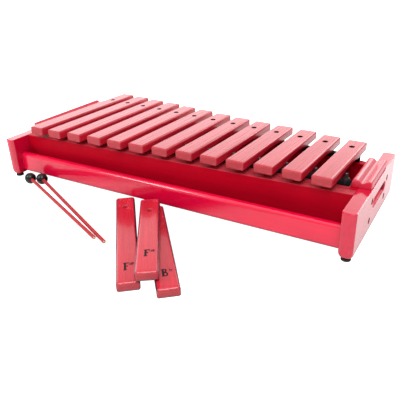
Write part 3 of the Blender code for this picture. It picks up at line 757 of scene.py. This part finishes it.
# ---------------------------------------------------------------- caps
def through(points, steps=5):
    """A smooth curve through the points (Catmull-Rom)."""
    out = []
    for i in range(len(points) - 1):
        p0, p1, p2, p3 = points[max(i - 1, 0)], points[i], points[i + 1], points[min(i + 2, len(points) - 1)]
        for k in range(steps):
            t = k / steps
            out.append(
                tuple(
                    0.5 * (2 * b + (c - a) * t + (2 * a - 5 * b + 4 * c - d) * t * t + (3 * b - a - 3 * c + d) * t ** 3)
                    for a, b, c, d in zip(p0, p1, p2, p3)
                )
            )
    out.append(points[-1])
    return out


def cap_piece(side, inner, outward, span):
    outline = [(0.15, 0.15), (0.0, 1.0)]
    ridge = [(0.0, 6.4), (0.25, 7.9), (0.9, 9.2), (2.2, 10.5), (4.0, 11.3), (5.6, 11.5), (7.2, 11.25), (8.8, 10.6), (11.0, 9.05), (13.0, 7.6), (14.3, 7.1), (15.4, 7.05)]
    outline += through(ridge + [(17.4, 7.6), (20.4, 9.4), (22.8, 10.75), (24.5, 11.1), (26.2, 10.8), (27.4, 9.9), (28.0, 8.6)], 4)
    outline += [(28.0, 1.0), (27.85, 0.15)]
    rings = []
    start = inner - outward * 10.6 + outward * 0.3
    y0, y1 = span
    ease = 1.4
    stations = []
    for k in range(5):
        a = math.radians(90 * k / 4)
        stations.append((y0 + ease * (1 - math.cos(a)), ease * (1 - math.sin(a))))
    stations += [(y0 + (y1 - y0) * k / 6, 0.0) for k in range(1, 6)]
    for k in range(4, -1, -1):
        a = math.radians(90 * k / 4)
        stations.append((y1 - ease * (1 - math.cos(a)), ease * (1 - math.sin(a))))
    for y, e in stations:
        rings.append([(start + outward * (14.0 + (a - 14.0) * (1 - e / 14.0)), y, BOARD_TOP + GAP + max(b * (1 - e / 11.5), 0.0)) for a, b in outline])
    name = "finished_cap_" + side
    piece = new_object(name, local_mesh(loft(name, rings)), None, (CAP_LACQUER,))
    smooth(piece)
    settle(piece, "frame", "red_lacquered_wood", "cap_" + side)


cap_piece("bass", IN_BASS, -1, (-73.0, 107.5))
cap_piece("treble", IN_TREBLE, 1, (-63.6, 27.0))


# ---------------------------------------------------------------- mallets
for label, head_xy, end_xy in MALLETS:
    head = Vector((head_xy[0], head_xy[1], HEAD_R))
    end = Vector((end_xy[0], end_xy[1], STICK_R + 0.1))
    along = (end - head).normalized()
    matrix = Matrix.Translation(mm(*head)) @ along.to_track_quat("Z", "Y").to_matrix().to_4x4()
    profile = [(0.0, -HEAD_R)]
    for k in range(1, 33):
        a = math.radians(-90 + 163 * k / 33)
        r = HEAD_R + 0.0
        if abs(math.degrees(a)) < 3:
            r = HEAD_R - 0.10
        profile.append((r * math.cos(a), r * math.sin(a)))
    profile += [(3.5, 9.3), (3.34, 9.05), (3.3, 0.8), (0.0, 0.8)]
    ball = new_object("finished_head_" + label, lathe("head", profile, 48), matrix, (HEAD,))
    smooth(ball, 40)
    settle(ball, "mallet_" + label, "mallet_head", "mallet_head_" + label)
    long = (end - head).length
    profile = [(0.0, 1.0), (3.0, 1.0), (3.0, long - 60.0), (2.95, long - 2.0), (2.75, long - 0.9), (2.2, long - 0.2), (1.6, long), (0.0, long)]
    stick = new_object("finished_stick_" + label, lathe("stick", profile, 28), matrix, (STICK, BARE))
    for face in stick.data.polygons:
        face.material_index = 1 if face.center.z > (long - 0.5) * 0.001 else 0
    smooth(stick, 50)
    settle(stick, "mallet_" + label, "mallet_stick", "mallet_stick_" + label)


# ---------------------------------------------------------------- floor and light
def make_shade(nodes, links):
    """1 on the open floor, falling to the shade under the instrument and close along the two loose bars that lie on it."""
    spot = nodes.new("ShaderNodeTexCoord").outputs["Object"]

    def vector(operation, *values):
        made = nodes.new("ShaderNodeVectorMath")
        made.operation = operation
        for socket, value in zip(made.inputs, values):
            if isinstance(value, (tuple, Vector)):
                socket.default_value = value
            else:
                links.new(value, socket)
        return made

    def ranged(value, low, high, to_low):
        made = nodes.new("ShaderNodeMapRange")
        made.interpolation_type = "SMOOTHSTEP"
        made.inputs["From Min"].default_value = low
        made.inputs["From Max"].default_value = high
        made.inputs["To Min"].default_value = to_low
        made.inputs["To Max"].default_value = 1.0
        links.new(value, made.inputs["Value"])
        return made.outputs["Result"]

    flat = vector("MULTIPLY", spot, (1.0, 1.0, 0.0)).outputs["Vector"]
    low, high = mm(X0, BOARD_FRONT + 17.0, 0.0), mm(X1, 88.5, 0.0)
    middle, half = (low + high) / 2, (high - low) / 2
    from_box = vector("SUBTRACT", vector("ABSOLUTE", vector("SUBTRACT", flat, middle).outputs["Vector"]).outputs["Vector"], half).outputs["Vector"]
    away = vector("LENGTH", vector("MAXIMUM", from_box, (0.0, 0.0, 0.0)).outputs["Vector"]).outputs["Value"]
    total = ranged(away, 0.0, 0.028, 0.0)
    for name in ("f_sharp5", "b_flat5"):
        x, y, heading, length, _ = SPARES[name]
        place = spare_matrix(x, y, heading, 0.0)
        near, far = place @ Vector((0.004, 0.075, 0)), place @ Vector((0.004, length * 0.001, 0))
        line = far - near
        offset = vector("SUBTRACT", flat, near).outputs["Vector"]
        share = nodes.new("ShaderNodeMath")
        share.operation = "MULTIPLY"
        share.use_clamp = True
        links.new(vector("DOT_PRODUCT", offset, line / line.length_squared).outputs["Value"], share.inputs[0])
        share.inputs[1].default_value = 1.0
        along = vector("SCALE", line)
        links.new(share.outputs["Value"], along.inputs["Scale"])
        gap = vector("LENGTH", vector("SUBTRACT", offset, along.outputs["Vector"]).outputs["Vector"]).outputs["Value"]
        product = nodes.new("ShaderNodeMath")
        product.operation = "MULTIPLY"
        links.new(total, product.inputs[0])
        links.new(ranged(gap, 0.014, 0.058, 0.10), product.inputs[1])
        total = product.outputs["Value"]
    return total


def make_floor():
    bm = bmesh.new()
    bmesh.ops.create_grid(bm, x_segments=4, y_segments=4, size=6.0)
    mesh = bpy.data.meshes.new("floor")
    bm.to_mesh(mesh)
    bm.free()
    floor = bpy.data.objects.new("floor", mesh)
    SCENE.collection.objects.link(floor)
    made, nodes, links, shader = nodes_of("pale_floor")
    cloud = noise(nodes, links, (3, 3, 3))
    shaded = make_shade(nodes, links)
    pale = nodes.new("ShaderNodeVectorMath")
    pale.operation = "SCALE"
    links.new(ramp(nodes, links, cloud, ((0.3, (0.76, 0.76, 0.76)), (0.7, (0.78, 0.78, 0.78)))), pale.inputs[0])
    links.new(shaded, pale.inputs["Scale"])
    links.new(pale.outputs["Vector"], shader.inputs["Base Color"])
    shader.inputs["Roughness"].default_value = 0.9
    shader.inputs["Specular IOR Level"].default_value = 0.1
    shader.inputs["Emission Color"].default_value = (1.0, 1.0, 1.0, 1.0)
    ball = nodes.new("ShaderNodeTexGradient")
    ball.gradient_type = "SPHERICAL"
    links.new(texture_point(nodes, links, (0.5, 0.5, 0.5)), ball.inputs["Vector"])
    lit = spread(nodes, links, ball.outputs["Fac"], 1.05, 0.26, 0.1, 0.8)
    dim = nodes.new("ShaderNodeMath")
    dim.operation = "MULTIPLY"
    links.new(lit, dim.inputs[0])
    links.new(shaded, dim.inputs[1])
    path = nodes.new("ShaderNodeLightPath")
    lift = nodes.new("ShaderNodeMath")
    lift.operation = "MULTIPLY_ADD"
    links.new(path.outputs["Is Camera Ray"], lift.inputs[0])
    lift.inputs[1].default_value = 1.1
    links.new(dim.outputs["Value"], lift.inputs[2])
    links.new(lift.outputs["Value"], shader.inputs["Emission Strength"])
    mesh.materials.append(made)
    floor.location = (0, 0, -0.0003)


def area(name, place, target, size, power):
    data = bpy.data.lights.new(name, "AREA")
    data.shape = "RECTANGLE"
    data.size, data.size_y = size
    data.energy = power
    lamp = bpy.data.objects.new(name, data)
    SCENE.collection.objects.link(lamp)
    lamp.location = place
    aim = (Vector(target) - Vector(place)).normalized()
    lamp.rotation_euler = aim.to_track_quat("-Z", "Y").to_euler()
    return lamp


def make_world():
    """A studio: an even room with a bright backdrop low behind the object."""
    world = bpy.data.worlds.new("studio")
    world.use_nodes = True
    nodes, links = world.node_tree.nodes, world.node_tree.links
    place = nodes.new("ShaderNodeTexCoord")
    split = nodes.new("ShaderNodeSeparateXYZ")
    links.new(place.outputs["Generated"], split.inputs["Vector"])

    def step(source, low, high, to_low, to_high):
        made = nodes.new("ShaderNodeMapRange")
        made.interpolation_type = "SMOOTHSTEP"
        made.inputs["From Min"].default_value = low
        made.inputs["From Max"].default_value = high
        made.inputs["To Min"].default_value = to_low
        made.inputs["To Max"].default_value = to_high
        links.new(source, made.inputs["Value"])
        return made.outputs["Result"]

    def join(kind, a, b):
        made = nodes.new("ShaderNodeMath")
        made.operation = kind
        for socket, value in zip(made.inputs, (a, b)):
            if isinstance(value, float):
                socket.default_value = value
            else:
                links.new(value, socket)
        return made.outputs["Value"]

    x, y, z = split.outputs["X"], split.outputs["Y"], split.outputs["Z"]
    side = join("ADD", step(x, -0.9, 0.9, 0.32, 0.33), step(y, -0.6, 0.0, 0.42, 0.0))
    glow = join("MULTIPLY", step(y, 0.0, 0.5, 0.0, 1.0), join("MULTIPLY", step(z, 0.28, 0.68, 1.9, 0.0), step(x, -0.05, 0.45, 1.0, 0.15)))
    roof = step(z, 0.72, 0.97, 0.0, 1.4)
    total = join("ADD", join("ADD", side, roof), glow)
    eye = nodes.new("ShaderNodeLightPath")
    white = join("MULTIPLY", eye.outputs["Is Camera Ray"], 1.2)
    rest = join("MULTIPLY", join("SUBTRACT", 1.0, eye.outputs["Is Camera Ray"]), total)
    nodes["Background"].inputs["Color"].default_value = (1.0, 1.0, 1.0, 1.0)
    links.new(join("ADD", white, rest), nodes["Background"].inputs["Strength"])
    SCENE.world = world


make_floor()
make_world()
area("softbox_high", (0.66, -0.75, 1.62), (0.0, -0.05, 0.03), (0.8, 0.8), 14.0)
area("softbox_left", (-1.05, -1.05, 1.25), (-0.05, -0.10, 0.03), (0.42, 0.42), 12.5)
area("softbox_back", (0.42, 1.50, 0.95), (0.0, 0.0, 0.08), (0.7, 0.5), 6.0)
SCENE.view_settings.view_transform = "Standard"
SCENE.view_settings.look = "None"
SCENE.view_settings.exposure = 0.0
